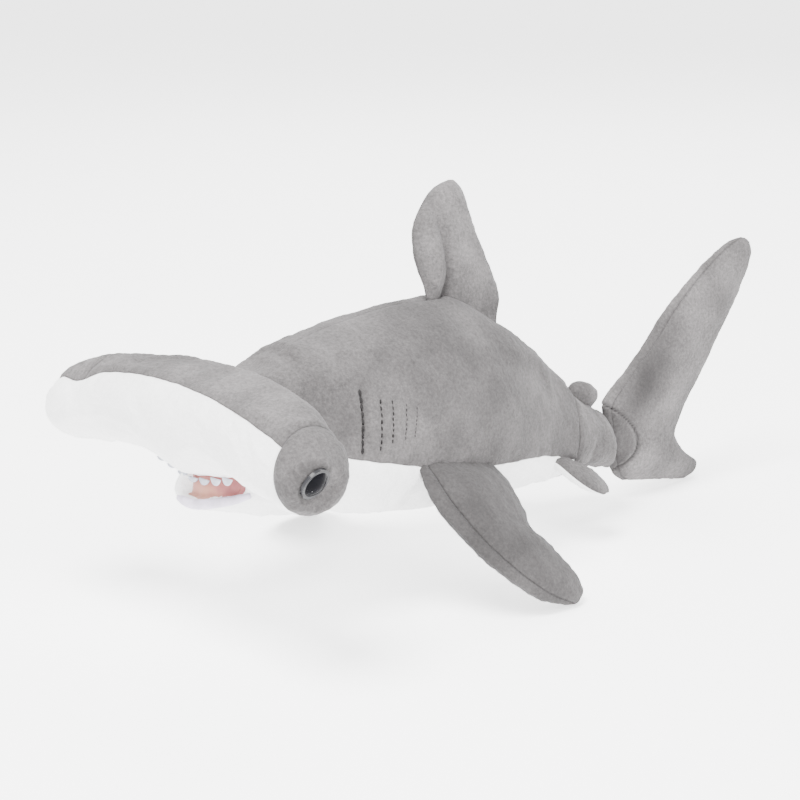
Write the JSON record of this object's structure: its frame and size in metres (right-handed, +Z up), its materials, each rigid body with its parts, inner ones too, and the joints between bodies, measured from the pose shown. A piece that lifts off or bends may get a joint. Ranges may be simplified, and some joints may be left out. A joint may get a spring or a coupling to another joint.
{
  "type": "plush hammerhead shark",
  "caption": "Stuffed plush hammerhead shark with a wide soft hammer head, grey back, white belly, sewn gill lines and padded fins.",
  "frame": {"origin": "middle of the bounding box in plan, on the floor that the toy stands on", "axes": "+Y towards the tail, nose towards -Y; +X towards the shark's left side; +Z up. The nose is pitched up 8.2 degrees, as the toy stands on its pectoral fins and its tail."},
  "size_m": [0.1982, 0.425, 0.1888],
  "materials": {
    "grey_plush": "short pile plush",
    "white_plush": "short pile plush",
    "polyester_fill": "loose fibre",
    "beads": "small round beads",
    "cotton": "plain weave",
    "pink_satin": "smooth satin",
    "thread": "sewing thread",
    "label_tape": "woven tape, blank",
    "white_felt": "felt",
    "eye_black": "polished",
    "eye_rim": "polished",
    "washer_plastic": "moulded"
  },
  "bodies": {
    "trunk": {"back_cover_left": "grey_plush", "back_cover_right": "grey_plush", "belly_cover": "white_plush", "body_stuffing": "polyester_fill", "pellet_pouch": "cotton", "pellets": "beads", "mouth_lining": "pink_satin", "gill_stitches_left": "thread", "gill_stitches_right": "thread", "care_label": "label_tape"},
    "head": {"head_top_cover": "grey_plush", "head_front_cover": "white_plush", "hammer_cap_left": "grey_plush", "hammer_cap_right": "grey_plush", "head_stuffing": "polyester_fill", "upper_teeth": "white_felt", "eye_rim_left": "eye_rim", "eye_dome_left": "eye_black", "eye_washer_left": "washer_plastic", "eye_rim_right": "eye_rim", "eye_dome_right": "eye_black", "eye_washer_right": "washer_plastic"},
    "tail_stem": {"stem_cover": "grey_plush", "stem_stuffing": "polyester_fill"},
    "tail_fin": {"tail_fin_left_panel": "grey_plush", "tail_fin_right_panel": "grey_plush", "tail_fin_stuffing": "polyester_fill"},
    "dorsal_fin": {"dorsal_fin_left_panel": "grey_plush", "dorsal_fin_right_panel": "grey_plush", "dorsal_fin_stuffing": "polyester_fill"},
    "second_dorsal_fin": {"second_dorsal_fin_left_panel": "grey_plush", "second_dorsal_fin_right_panel": "grey_plush", "second_dorsal_fin_stuffing": "polyester_fill"},
    "pectoral_fin_left": {"pectoral_fin_upper_panel_left": "grey_plush", "pectoral_fin_lower_panel_left": "grey_plush", "pectoral_fin_stuffing_left": "polyester_fill"},
    "pectoral_fin_right": {"pectoral_fin_upper_panel_right": "grey_plush", "pectoral_fin_lower_panel_right": "grey_plush", "pectoral_fin_stuffing_right": "polyester_fill"},
    "pelvic_fin_left": {"pelvic_fin_upper_panel_left": "grey_plush", "pelvic_fin_lower_panel_left": "white_plush", "pelvic_fin_stuffing_left": "polyester_fill"},
    "pelvic_fin_right": {"pelvic_fin_upper_panel_right": "grey_plush", "pelvic_fin_lower_panel_right": "white_plush", "pelvic_fin_stuffing_right": "polyester_fill"}
  },
  "joints": [
    {"name": "head_nod", "type": "hinge", "parent": "trunk", "child": "head", "pos_m": [0, -0.18614, 0.10206], "axis": [1, 0, 0], "range_deg": [-8, 8], "stiffness_Nm_per_rad": 1.5},
    {"name": "tail_swing", "type": "hinge", "parent": "trunk", "child": "tail_stem", "pos_m": [0, 0.07273, 0.04051], "axis": [0, 0.1426, 0.9898], "range_deg": [-20, 20], "stiffness_Nm_per_rad": 0.8},
    {"name": "tail_fin_swing", "type": "hinge", "parent": "tail_stem", "child": "tail_fin", "pos_m": [0, 0.09576, 0.01799], "axis": [0, -0.2185, 0.9758], "range_deg": [-28, 28], "stiffness_Nm_per_rad": 0.5},
    {"name": "dorsal_fin_flop", "type": "hinge", "parent": "trunk", "child": "dorsal_fin", "pos_m": [0, -0.04453, 0.13823], "axis": [0, 0.929, -0.37], "range_deg": [-25, 25], "stiffness_Nm_per_rad": 0.12},
    {"name": "second_dorsal_flop", "type": "hinge", "parent": "trunk", "child": "second_dorsal_fin", "pos_m": [0, 0.05446, 0.07496], "axis": [0, 0.8293, -0.5587], "range_deg": [-20, 20], "stiffness_Nm_per_rad": 0.02},
    {"name": "pectoral_flap_left", "type": "hinge", "parent": "trunk", "child": "pectoral_fin_left", "pos_m": [0.047, -0.09001, 0.068], "axis": [0, 0.9725, -0.233], "range_deg": [-30, 15], "stiffness_Nm_per_rad": 1},
    {"name": "pectoral_flap_right", "type": "hinge", "parent": "trunk", "child": "pectoral_fin_right", "pos_m": [-0.047, -0.09001, 0.068], "axis": [0, -0.9725, 0.233], "range_deg": [-30, 15], "stiffness_Nm_per_rad": 1},
    {"name": "pelvic_flap_left", "type": "hinge", "parent": "trunk", "child": "pelvic_fin_left", "pos_m": [0.025, 0.01956, 0.04312], "axis": [-0.0816, 0.9434, -0.3215], "range_deg": [-18, 18], "stiffness_Nm_per_rad": 0.04},
    {"name": "pelvic_flap_right", "type": "hinge", "parent": "trunk", "child": "pelvic_fin_right", "pos_m": [-0.025, 0.01956, 0.04312], "axis": [-0.0816, -0.9434, 0.3215], "range_deg": [-18, 18], "stiffness_Nm_per_rad": 0.04}
  ]
}
